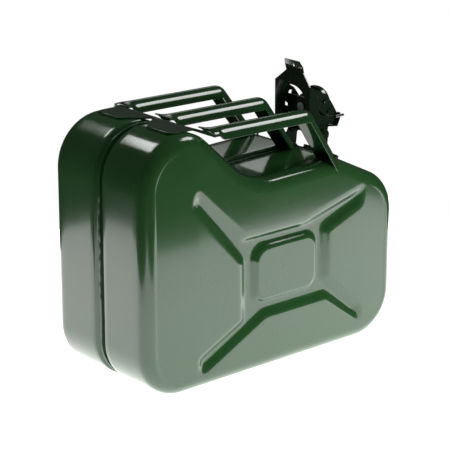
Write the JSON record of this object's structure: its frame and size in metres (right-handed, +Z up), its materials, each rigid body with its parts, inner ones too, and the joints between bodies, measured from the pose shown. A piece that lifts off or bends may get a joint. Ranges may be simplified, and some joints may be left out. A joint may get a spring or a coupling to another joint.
{
  "type": "jerrycan fuel can",
  "caption": "Pressed-steel fuel can in two welded halves, with a triple handle, a star pressing on each face and a hinged lever cap shown open.",
  "frame": {"origin": "middle of the footprint, on the surface that the can stands on", "axes": "+X from the back end to the mouth end, +Y across to the far broad face, +Z up"},
  "size_m": [0.345, 0.162, 0.302],
  "materials": {
    "enamel_body": "glossy dark green stoving enamel",
    "enamel_handle": "glossy dark green stoving enamel",
    "enamel_neck": "glossy dark green stoving enamel",
    "enamel_closure": "glossy dark green stoving enamel",
    "gasket_rubber": "matt black",
    "zinc_plate": "zinc plated",
    "pin_steel": "enamelled steel pin",
    "bare_steel": "drawn steel tube"
  },
  "bodies": {
    "can": {"near_shell": "enamel_body", "far_shell": "enamel_body", "seam_weld": "enamel_body", "handle_plate": "enamel_handle", "near_handle": "enamel_handle", "middle_handle": "enamel_handle", "far_handle": "enamel_handle", "handle_foot_welds": "enamel_handle", "handle_plate_welds": "enamel_handle", "neck_tube": "enamel_neck", "neck_weld": "enamel_neck", "hinge_bracket": "enamel_neck", "bracket_welds": "enamel_neck", "hinge_pin": "pin_steel", "air_pipe": "bare_steel"},
    "cap": {"cap_carrier": "enamel_closure", "cap_dome": "enamel_closure", "cap_gasket": "gasket_rubber", "gasket_retainer": "zinc_plate", "cap_rivet": "zinc_plate"},
    "lever": {"closure_lever": "enamel_closure", "lever_rivets": "enamel_closure"},
    "lock": {"locking_pin": "pin_steel"}
  },
  "joints": [
    {"name": "cap_hinge", "type": "hinge", "parent": "can", "child": "cap", "pos_m": [0.114, 0, 0.22], "axis": [0, 1, 0], "range_deg": [-8, 116]},
    {"name": "lever_pivot", "type": "hinge", "parent": "cap", "child": "lever", "pos_m": [0.1195, 0, 0.245], "axis": [0, 1, 0], "range_deg": [-25, 0]},
    {"name": "pin_pull", "type": "slide", "parent": "lever", "child": "lock", "axis": [0, -1, 0], "range_m": [0, 0.003]}
  ]
}
